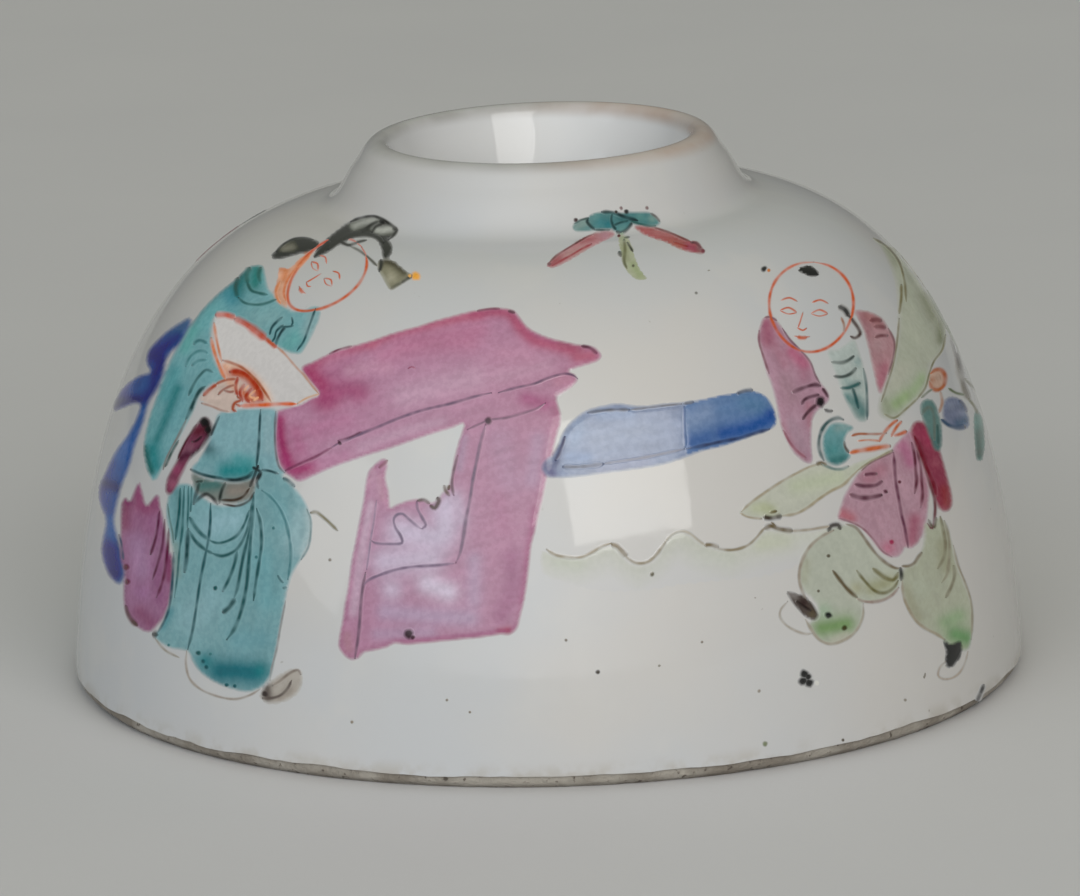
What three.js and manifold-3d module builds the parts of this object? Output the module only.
// Small porcelain ink and water pot of beehive form, painted in overglaze enamels.
// Millimetres, +Z up, origin at the middle of the foot ring on the surface that it stands on.
// The painted scene faces -Y, and +X is on the right of whoever looks at it.
import * as THREE from 'three';
import { mergeVertices } from 'three/addons/utils/BufferGeometryUtils.js';
import Module from 'manifold-3d';

const wasm = await Module();
wasm.setup();

// Driving sizes of the thrown pot, as [radius, height]
const WALL_FOOT = [35.0, 1.0];
const WALL_PULL_LOW = [33.9, 19.0];
const WALL_PULL_HIGH = [28.8, 33.0];
const NECK_FOOT = [16.3, 34.8];
const NECK_PULL_LOW = [14.7, 35.1];
const NECK_PULL_HIGH = [14.6, 36.5];
const LIP_OUTSIDE = [13.4, 38.0];
const LIP_PULL_OUT = [12.9, 38.75];
const LIP_PULL_HIGH = [12.55, 39.6];
const LIP_CREST = [11.7, 39.6];
const LIP_PULL_IN = [11.2, 39.6];
const LIP_PULL_LOW = [10.95, 39.2];
const LIP_INSIDE = [10.8, 38.6];
const THROAT_PULL_HIGH = [10.4, 37.4];
const THROAT_PULL_LOW = [9.3, 35.9];
const THROAT_WAIST = [9.3, 34.2];
const UNDERCUT_PULL_IN = [9.3, 32.0];
const UNDERCUT_PULL_OUT = [11.5, 32.0];
const CAVITY_SHOULDER = [15.0, 31.5];
const CAVITY_PULL_HIGH = [25.4, 29.9];
const CAVITY_PULL_LOW = [30.4, 20.0];
const CAVITY_SIDE = [31.9, 9.0];
const CAVITY_CORNER_PULL = [32.0, 4.2];
const CAVITY_FLOOR = [25.0, 4.2];

// Foot ring and recessed base
const FOOT_INNER_RADIUS = 30.6;
const FOOT_FACE_INNER_RADIUS = 31.3;
const FOOT_FACE_OUTER_RADIUS = 34.2;
const FOOT_BEVEL_HEIGHT = 0.5;
const BASE_RECESS = 1.6;

// Thickness of the coats
const GLAZE = 0.25;
const ENAMEL = 0.25;
const ENAMEL_GAP = 0.1;

// Steps round the pot and along each stretch of its outline
const RING_STEPS = 48;
const WALL_STEPS = 10;
const NECK_STEPS = 3;
const LIP_STEPS = 2;
const THROAT_STEPS = 3;
const UNDERCUT_STEPS = 3;
const CAVITY_STEPS = 7;
const CORNER_STEPS = 3;

// The painting is laid out in millimetres on a flat card through the pot's axis, as seen by
// someone who looks down at it slightly: u runs to the right and v up from the card's middle.
const EYE_DISTANCE = 440;
const EYE_RISE_DEG = 13;
const CARD_MIDDLE = new THREE.Vector3(-0.3, 0, 16);
const CARD_ROLL_DEG = -1.34;
const CARD_NEAR_SCALE = 0.85;
const SIDE_TURN_DEG = 80;
const BACK_TURN_DEG = 180;
const SHOULDER_TURN_DEG = -120;
const DISC_CORNERS = 10;

const COLOURS = {
  biscuit: 0x8c867c,
  glaze: 0xbfc2c3,
  ink: 0x1b1c20,
  turquoise: 0x5f979c,
  paleTurquoise: 0x86adb0,
  teal: 0x14696f,
  paper: 0xd2d3d0,
  greyGreen: 0x7f8a86,
  brown: 0x6b5a4c,
  rose: 0xa24a76,
  paleRose: 0xa97ba3,
  magenta: 0x7c1f4b,
  cobalt: 0x3b5590,
  paleBlue: 0x96a5c3,
  paleGreen: 0xa9b8a0,
  green: 0x5f9a58,
  ironRed: 0xb45a30,
  crimson: 0x96283c,
  olive: 0x98a084,
};

const pot = new THREE.Group();

const material = (colour, roughness) => new THREE.MeshStandardMaterial({
  color: COLOURS[colour],
  roughness,
  metalness: 0,
});

// Outlines of the thrown form as lists of Vector2(radius, height), up the outside and down the inside
const point = ([radius, height]) => new THREE.Vector2(radius, height);

function cubic(start, pullStart, pullEnd, end, steps) {
  return new THREE.CubicBezierCurve(point(start), point(pullStart), point(pullEnd), point(end)).getPoints(steps);
}

function joined(...stretches) {
  return stretches.flatMap((stretch, i) => (i ? stretch.slice(1) : stretch));
}

// Moves an outline to its left by a distance, along the direction square to it
function offset(outline, distance) {
  return outline.map((here, i) => {
    const before = outline[Math.max(i - 1, 0)];
    const after = outline[Math.min(i + 1, outline.length - 1)];
    const along = after.clone().sub(before).normalize();
    return new THREE.Vector2(here.x - along.y * distance, here.y + along.x * distance);
  });
}

const wall = cubic(WALL_FOOT, WALL_PULL_LOW, WALL_PULL_HIGH, NECK_FOOT, WALL_STEPS);
const neck = cubic(NECK_FOOT, NECK_PULL_LOW, NECK_PULL_HIGH, LIP_OUTSIDE, NECK_STEPS);
const lipOutside = cubic(LIP_OUTSIDE, LIP_PULL_OUT, LIP_PULL_HIGH, LIP_CREST, LIP_STEPS);
const lipInside = cubic(LIP_CREST, LIP_PULL_IN, LIP_PULL_LOW, LIP_INSIDE, LIP_STEPS);
const throat = cubic(LIP_INSIDE, THROAT_PULL_HIGH, THROAT_PULL_LOW, THROAT_WAIST, THROAT_STEPS);
const outside = joined(wall, neck, lipOutside, lipInside, throat);
const undercut = cubic(THROAT_WAIST, UNDERCUT_PULL_IN, UNDERCUT_PULL_OUT, CAVITY_SHOULDER, UNDERCUT_STEPS);
const cavityWall = cubic(CAVITY_SHOULDER, CAVITY_PULL_HIGH, CAVITY_PULL_LOW, CAVITY_SIDE, CAVITY_STEPS);
const cavityCorner = cubic(CAVITY_SIDE, CAVITY_CORNER_PULL, CAVITY_CORNER_PULL, CAVITY_FLOOR, CORNER_STEPS);
const inside = joined(undercut, cavityWall, cavityCorner);
const surface = joined(outside, inside);
const biscuit = offset(surface, GLAZE);
const biscuitOutside = biscuit.slice(0, outside.length);
const biscuitInside = biscuit.slice(outside.length - 1);

// Turns an outline round the +Z axis
function turned(outline) {
  const geometry = new THREE.LatheGeometry(outline, RING_STEPS);
  geometry.rotateX(Math.PI / 2);
  return geometry;
}

function addPiece(name, geometry, colour, roughness) {
  const piece = new THREE.Mesh(geometry, material(colour, roughness));
  piece.name = name;
  pot.add(piece);
}

// Fired porcelain body, from the middle of the base out, over the lip and down to the floor inside
function porcelainBody() {
  const floor = biscuitInside[biscuitInside.length - 1].y;
  return turned([
    point([0, BASE_RECESS]),
    point([FOOT_INNER_RADIUS, BASE_RECESS]),
    point([FOOT_FACE_INNER_RADIUS, 0]),
    point([FOOT_FACE_OUTER_RADIUS, 0]),
    point([WALL_FOOT[0] - GLAZE, FOOT_BEVEL_HEIGHT]),
    ...biscuitOutside,
    ...biscuitInside.slice(1),
    point([0, floor]),
  ]);
}

// Clear glaze outside, from its bare edge above the foot, over the lip and down to the waist of the throat
function outerGlaze() {
  return turned([...outside, ...biscuitOutside.slice().reverse(), outside[0]]);
}

// Clear glaze inside, from the waist of the throat to the middle of the floor
function innerGlaze() {
  const floorTop = inside[inside.length - 1].y;
  const floorUnder = biscuitInside[biscuitInside.length - 1].y;
  return turned([
    point([0, floorUnder]),
    ...biscuitInside.slice().reverse(),
    ...inside,
    point([0, floorTop]),
  ]);
}

// Clear glaze on the recessed base, short of the bare foot ring
function baseGlaze() {
  return turned([
    point([0, BASE_RECESS - GLAZE]),
    point([FOOT_INNER_RADIUS - GLAZE, BASE_RECESS - GLAZE]),
    point([FOOT_INNER_RADIUS - GLAZE, BASE_RECESS]),
    point([0, BASE_RECESS]),
  ]);
}

addPiece('porcelain_body', porcelainBody(), 'biscuit', 0.85);
addPiece('outer_glaze', outerGlaze(), 'glaze', 0.12);
addPiece('inner_glaze', innerGlaze(), 'glaze', 0.15);
addPiece('base_glaze', baseGlaze(), 'glaze', 0.15);

// Closed solids for cutting, with only their positions kept and shared corners merged
function toSolid(geometry) {
  const bare = geometry.index ? geometry.clone() : geometry;
  bare.deleteAttribute('normal');
  bare.deleteAttribute('uv');
  const merged = mergeVertices(bare, 1e-5);
  const corners = Array.from(merged.index.array);
  const faces = [];
  for (let i = 0; i < corners.length; i += 3) {
    const [a, b, c] = corners.slice(i, i + 3);
    if (a !== b && b !== c && c !== a) faces.push(a, b, c);
  }
  return new wasm.Manifold(new wasm.Mesh({
    numProp: 3,
    vertProperties: new Float32Array(merged.attributes.position.array),
    triVerts: new Uint32Array(faces),
  }));
}

function toGeometry(solid) {
  const mesh = solid.getMesh();
  const geometry = new THREE.BufferGeometry();
  geometry.setAttribute('position', new THREE.BufferAttribute(mesh.vertProperties, 3));
  geometry.setIndex(new THREE.BufferAttribute(mesh.triVerts, 1));
  geometry.computeVertexNormals();
  return geometry;
}

// The space that a coat of enamel fills, just proud of the glaze
const enamelOuter = offset(wall, -ENAMEL_GAP - ENAMEL);
const enamelInner = offset(wall, -ENAMEL_GAP);
const enamelCoat = toSolid(turned([...enamelOuter, ...enamelInner.slice().reverse(), enamelOuter[0]]));

// Card axes for a painter who stands at the given angle round the pot, 0 being the front
function cardAxes(turnDeg) {
  const rise = THREE.MathUtils.degToRad(EYE_RISE_DEG);
  const eye = new THREE.Vector3(0, -Math.cos(rise), Math.sin(rise)).multiplyScalar(EYE_DISTANCE);
  eye.add(CARD_MIDDLE);
  const toEye = eye.clone().sub(CARD_MIDDLE).normalize();
  const right = new THREE.Vector3(0, 0, 1).cross(toEye).normalize();
  right.applyAxisAngle(toEye, THREE.MathUtils.degToRad(CARD_ROLL_DEG));
  const up = toEye.clone().cross(right);
  const turn = new THREE.Matrix4().makeRotationZ(THREE.MathUtils.degToRad(turnDeg));
  return { eye, right, up, turn };
}

// A prism that narrows towards the painter's eye, through an outline on the card
function sightPrism(outline, hole, turnDeg) {
  const shape = new THREE.Shape(outline.map(([u, v]) => new THREE.Vector2(u, v)));
  if (hole) shape.holes.push(new THREE.Path(hole.map(([u, v]) => new THREE.Vector2(u, v))));
  const geometry = new THREE.ExtrudeGeometry(shape, { depth: 1, bevelEnabled: false });
  const { eye, right, up, turn } = cardAxes(turnDeg);
  const places = geometry.attributes.position;
  for (let i = 0; i < places.count; i += 1) {
    const onCard = CARD_MIDDLE.clone();
    onCard.addScaledVector(right, places.getX(i));
    onCard.addScaledVector(up, places.getY(i));
    const nearness = places.getZ(i) * (1 - CARD_NEAR_SCALE);
    onCard.lerp(eye, nearness).applyMatrix4(turn);
    places.setXYZ(i, onCard.x, onCard.y, onCard.z);
  }
  return toSolid(geometry);
}

function addEnamel(name, colour, outline, { hole = null, turnDeg = 0, roughness = 0.25 } = {}) {
  const solid = enamelCoat.intersect(sightPrism(outline, hole, turnDeg));
  addPiece(name, toGeometry(solid), colour, roughness);
}

// Outline of a round spot on the card
function disc(u, v, radius) {
  const corners = new THREE.EllipseCurve(u, v, radius, radius).getPoints(DISC_CORNERS);
  return corners.slice(1).map((corner) => corner.toArray());
}

// The lady at the left, from her hair down
addEnamel('lady_hair', 'ink', [
  [-19.5, 15.3], [-17.7, 14.8], [-15.5, 16.6], [-14.0, 17.0], [-12.1, 16.2], [-10.7, 15.3],
  [-11.4, 14.6], [-13.2, 14.8], [-15.1, 14.4], [-16.3, 13.8], [-18.8, 14.0],
]);
addEnamel('lady_hair_bun', 'ink', [
  [-11.8, 13.5], [-10.3, 13.7], [-9.3, 13.0], [-10.2, 11.9], [-11.4, 12.1],
]);
addEnamel('lady_collar', 'turquoise', [
  [-22.3, 13.5], [-20.8, 13.7], [-20.0, 12.0], [-19.5, 10.9], [-20.8, 10.9], [-21.7, 11.6],
]);
addEnamel('lady_sleeve', 'turquoise', [
  [-22.8, 12.5], [-25.8, 9.1], [-27.6, 4.6], [-28.9, 0.6], [-28.9, -1.7], [-27.6, -1.2],
  [-26.4, 1.0], [-25.3, 2.9], [-25.3, 6.5], [-24.7, 10.0], [-22.9, 11.2],
]);
addEnamel('lady_fan', 'paper', [
  [-24.1, 9.6], [-22.1, 8.8], [-18.4, 6.0], [-16.7, 3.8], [-19.1, 3.5], [-20.5, 5.4], [-23.4, 6.8],
]);
addEnamel('lady_shoulder', 'turquoise', [
  [-19.7, 10.3], [-17.7, 10.7], [-16.5, 9.1], [-16.8, 7.4], [-17.8, 6.9], [-18.9, 7.9],
]);
addEnamel('lady_bodice', 'paleTurquoise', [
  [-23.9, 2.4], [-19.1, 2.6], [-18.9, 0.6], [-19.9, -2.2], [-25.0, -2.2], [-25.0, -0.6],
]);
addEnamel('lady_belt', 'greyGreen', [
  [-25.4, -2.6], [-20.5, -2.6], [-20.2, -3.5], [-21.0, -3.8], [-25.6, -3.8],
]);
addEnamel('lady_skirt', 'paleTurquoise', [
  [-25.8, -4.2], [-20.5, -4.2], [-17.7, -3.8], [-17.2, -7.1], [-18.4, -11.2], [-19.7, -14.1],
  [-25.8, -14.1], [-26.7, -12.7], [-26.4, -8.2],
]);
addEnamel('lady_skirt_hem', 'teal', [
  [-25.6, -14.6], [-20.0, -14.6], [-20.1, -17.2], [-22.1, -17.8], [-24.3, -17.4], [-25.6, -16.0],
]);
addEnamel('lady_shoe', 'brown', [
  [-19.6, -16.5], [-18.0, -16.3], [-17.4, -17.7], [-18.8, -18.7], [-19.7, -18.0],
]);
addEnamel('lady_sash', 'magenta', [
  [-25.0, 2.2], [-24.4, 1.7], [-25.7, -0.6], [-27.2, -2.7], [-28.0, -2.4], [-26.4, -0.1],
]);
addEnamel('lady_drape', 'rose', [
  [-30.1, -4.1], [-28.7, -3.2], [-27.4, -3.4], [-27.2, -8.2], [-27.8, -11.2], [-28.7, -13.1],
  [-30.2, -12.8], [-30.5, -8.6],
]);
addEnamel('lady_ribbon', 'cobalt', [
  [-26.3, 8.9], [-28.0, 6.8], [-29.4, 5.6], [-31.0, 4.7], [-30.9, 3.9], [-29.5, 4.4],
  [-29.8, 1.9], [-31.2, -2.2], [-31.9, -5.2], [-31.6, -9.0], [-31.1, -8.8], [-31.3, -5.0],
  [-30.6, -2.0], [-29.3, 2.0], [-28.9, 4.6], [-27.5, 6.9],
]);

// The altar table between the two figures
addEnamel('table_top', 'rose', [
  [-18.2, -1.5], [-18.3, 1.5], [-17.6, 3.0], [-16.2, 3.2], [-16.2, 5.0], [-15.9, 6.5],
  [-10.3, 8.7], [-3.7, 10.0], [-1.9, 9.7], [-0.5, 8.4], [3.8, 7.4], [2.8, 6.0], [0.4, 4.6],
  [-5.9, 1.9], [-11.8, -0.1], [-17.7, -1.9],
]);
addEnamel('table_leg', 'paleRose', [
  [-3.7, 1.7], [0.9, 3.7], [1.3, 2.1], [0.4, -3.8], [-1.8, -13.2], [-10.3, -14.0], [-13.8, -15.0],
  [-14.4, -14.9], [-14.1, -11.2], [-13.1, -5.3], [-12.1, -1.5], [-11.4, -1.0],
], { hole: [[-10.8, -1.8], [-10.4, -4.0], [-6.4, -2.9], [-5.9, -0.9], [-5.2, 1.0]] });

// The garden rail and the ground behind the table
addEnamel('garden_rail', 'cobalt', [
  [1.6, -1.3], [2.5, 2.1], [4.3, 2.6], [10.5, 3.2], [15.9, 3.8], [16.5, 2.9], [16.3, 1.8],
  [10.5, 0.6], [4.4, -1.2],
]);
addEnamel('ground_wash', 'paleGreen', [
  [0.6, -8.1], [4.8, -7.7], [7.0, -8.8], [11.0, -8.0], [16.2, -7.1], [18.4, -7.0],
  [18.4, -8.4], [16.2, -9.1], [7.4, -9.9], [0.8, -9.1],
]);
addEnamel('leaf', 'paleGreen', [
  [15.1, -5.0], [20.6, -1.8], [23.3, -0.8], [25.6, -0.2], [25.6, -1.2], [22.8, -3.3], [18.4, -5.0],
]);

// The bat above them
addEnamel('bat_body', 'turquoise', [
  [3.2, 16.6], [4.4, 17.4], [7.4, 17.4], [8.5, 16.8], [7.7, 16.0], [4.4, 15.9],
]);
addEnamel('bat_left_wing', 'rose', [
  [0.7, 13.4], [2.6, 14.9], [4.4, 15.5], [5.4, 15.2], [3.8, 14.1],
]);
addEnamel('bat_right_wing', 'rose', [
  [8.0, 15.5], [11.0, 15.3], [12.1, 14.6], [11.0, 14.4], [8.8, 15.0],
]);
addEnamel('bat_tail', 'green', [
  [6.1, 15.3], [6.9, 15.3], [7.6, 12.9], [6.8, 12.7], [6.2, 14.0],
]);

// The boy at the right, from his tuft of hair down
addEnamel('boy_tuft', 'ink', [
  [18.9, 13.4], [19.7, 13.6], [20.5, 13.2], [20.2, 12.7], [19.3, 12.7],
]);
addEnamel('boy_sleeve', 'rose', [
  [16.5, 9.1], [17.7, 9.3], [20.0, 6.1], [20.8, 3.5], [20.4, 1.7], [19.9, -0.9], [18.2, 0.1],
  [17.1, 3.5], [16.3, 7.1],
]);
addEnamel('boy_cuff', 'turquoise', [
  [21.1, 1.3], [22.4, 1.8], [23.0, 0.6], [22.4, -0.4], [21.3, -0.6],
]);
addEnamel('boy_vest', 'turquoise', [
  [21.2, 7.1], [22.7, 7.4], [24.0, 5.0], [24.0, 2.4], [23.3, 2.6], [22.2, 4.9],
]);
addEnamel('boy_shoulder', 'rose', [
  [23.3, 9.9], [25.3, 8.9], [25.8, 7.2], [25.0, 4.6], [24.5, 5.4], [23.6, 7.6],
]);
addEnamel('boy_tunic', 'paleRose', [
  [22.6, -5.5], [23.9, -3.5], [26.2, -1.4], [27.4, 0.4], [28.2, -2.4], [29.1, -4.9],
  [28.5, -6.8], [26.9, -8.0], [25.0, -6.5],
]);
addEnamel('boy_sash', 'crimson', [
  [27.8, 1.4], [28.7, 1.5], [29.7, -1.6], [30.3, -4.0], [29.7, -4.4], [28.8, -1.7],
]);
addEnamel('boy_left_trouser', 'paleGreen', [
  [21.8, -6.6], [23.6, -6.5], [25.9, -8.9], [25.6, -10.1], [24.0, -11.0], [23.2, -12.0],
  [20.4, -11.8], [19.4, -9.0], [20.1, -7.4],
]);
addEnamel('boy_left_trouser_hem', 'green', [
  [20.9, -12.5], [23.0, -12.4], [22.8, -14.1], [21.5, -14.3], [20.8, -13.5],
]);
addEnamel('boy_right_trouser', 'paleGreen', [
  [27.1, -8.6], [28.8, -7.4], [29.7, -7.7], [31.0, -10.4], [31.2, -12.0], [29.4, -12.3], [27.8, -11.6],
]);
addEnamel('boy_right_trouser_hem', 'green', [
  [29.8, -12.8], [31.3, -12.6], [31.5, -14.3], [30.6, -14.5],
]);
addEnamel('boy_left_shoe', 'ink', [
  [18.2, -11.2], [19.1, -10.6], [19.8, -12.2], [19.6, -13.5], [18.4, -13.1],
]);
addEnamel('boy_right_shoe', 'ink', [
  [29.6, -14.9], [30.5, -15.0], [31.0, -16.3], [30.2, -17.0], [29.4, -16.2],
]);

// Plants at the right edge
addEnamel('foliage_pale', 'olive', [
  [25.3, 14.9], [26.9, 13.5], [28.6, 10.5], [28.4, 7.6], [27.7, 6.1], [26.5, 8.0], [26.1, 10.9],
]);
addEnamel('foliage_green', 'green', [
  [26.1, 4.6], [27.6, 5.1], [27.8, 3.2], [26.9, 2.1], [26.0, 2.7],
]);
addEnamel('flower', 'ironRed', disc(28.6, 5.0, 0.5));
addEnamel('garden_rock', 'cobalt', [
  [29.6, 3.7], [31.4, 3.8], [32.0, 1.7], [30.5, 1.0], [29.8, 2.1],
]);

// The tree and rock beyond the right edge
addEnamel('side_foliage', 'olive', [
  [3.0, 3.6], [5.0, 4.6], [7.4, 5.4], [9.2, 7.0], [11.0, 7.2], [12.6, 5.6], [13.0, 3.2],
  [12.0, 1.2], [10.2, 0.2], [8.0, -0.4], [5.6, -0.2], [3.9, 1.0],
], { turnDeg: SIDE_TURN_DEG });
addEnamel('side_trunk', 'brown', [
  [8.9, -1.0], [10.0, -0.8], [10.2, -3.6], [9.7, -6.6], [9.9, -10.4], [10.9, -14.5], [9.1, -14.5],
  [8.6, -10.4], [8.5, -6.6], [9.1, -3.6],
], { turnDeg: SIDE_TURN_DEG });
addEnamel('side_rock', 'cobalt', [
  [11.6, -14.7], [11.3, -11.9], [12.4, -9.6], [14.0, -8.6], [15.6, -9.9], [16.2, -12.4],
  [15.6, -14.6], [13.7, -15.2],
], { turnDeg: SIDE_TURN_DEG });

// The second bat, on the shoulder beyond the left edge
addEnamel('side_bat', 'rose', [
  [0.0, 9.6], [0.9, 10.6], [2.2, 11.5], [3.5, 12.2], [4.0, 12.8], [5.7, 13.2], [7.2, 12.5],
  [8.8, 11.0], [10.0, 10.2], [10.7, 9.1], [10.0, 9.0], [8.7, 9.9], [7.4, 10.6], [6.3, 11.0],
  [5.6, 10.5], [5.2, 9.0], [4.6, 9.6], [4.4, 11.0], [3.4, 10.7], [1.9, 10.0], [0.6, 9.3],
], { turnDeg: SHOULDER_TURN_DEG });

// The rock, peony and butterfly on the back
addEnamel('back_rock', 'cobalt', [
  [-13.8, -14.1], [-14.1, -11.2], [-13.2, -8.7], [-13.8, -6.0], [-12.8, -3.5], [-10.2, 0.0],
  [-8.2, 0.6], [-6.8, -0.7], [-6.5, -2.8], [-4.9, -3.7], [-4.0, -5.9], [-4.7, -8.2],
  [-3.5, -10.5], [-2.9, -12.8], [-3.8, -14.7], [-6.5, -15.3], [-9.6, -15.6], [-12.4, -15.3],
], { turnDeg: BACK_TURN_DEG });
addEnamel('back_ground', 'paleGreen', [
  [-20.0, -15.0], [-14.6, -14.9], [-13.2, -15.9], [-9.6, -16.2], [-3.2, -15.6], [-1.8, -14.8],
  [6.0, -14.6], [13.6, -15.0], [13.4, -16.4], [5.0, -17.2], [-6.0, -17.6], [-16.0, -16.8],
], { turnDeg: BACK_TURN_DEG });
addEnamel('back_flower', 'rose', disc(4.7, 10.4, 2.6), { turnDeg: BACK_TURN_DEG });
addEnamel('back_bud', 'rose', disc(8.1, 3.1, 1.0), { turnDeg: BACK_TURN_DEG });
addEnamel('back_aster', 'ironRed', disc(6.5, -12.0, 0.9), { turnDeg: BACK_TURN_DEG });
addEnamel('back_leaf_low', 'green', [
  [-1.5, 0.0], [-0.1, 0.6], [2.9, 0.9], [4.6, 0.6], [3.5, -0.6], [4.0, -1.6], [2.4, -2.2],
  [2.2, -3.5], [0.6, -2.6], [-0.1, -1.0],
], { turnDeg: BACK_TURN_DEG });
addEnamel('back_leaf_left', 'green', [
  [0.4, 2.8], [-0.7, 4.1], [-2.1, 5.4], [-2.9, 6.3], [-2.8, 4.9], [-4.3, 4.6], [-3.4, 3.5],
  [-4.0, 2.4], [-2.4, 2.5], [-0.9, 2.4],
], { turnDeg: BACK_TURN_DEG });
addEnamel('back_leaf_right', 'green', [
  [6.3, 6.7], [7.8, 7.8], [8.1, 9.0], [10.0, 9.4], [9.4, 8.1], [10.9, 7.4], [9.4, 6.8],
  [9.0, 5.4], [7.7, 6.0], [6.5, 6.3],
], { turnDeg: BACK_TURN_DEG });
addEnamel('back_butterfly', 'paleRose', [
  [12.6, 8.1], [11.8, 9.7], [12.4, 11.0], [14.0, 11.3], [15.0, 10.5], [14.6, 9.1],
  [13.6, 8.3], [14.4, 8.4], [15.8, 8.0], [15.6, 6.8], [14.4, 6.2], [13.4, 6.8],
], { turnDeg: BACK_TURN_DEG });

export default pot;
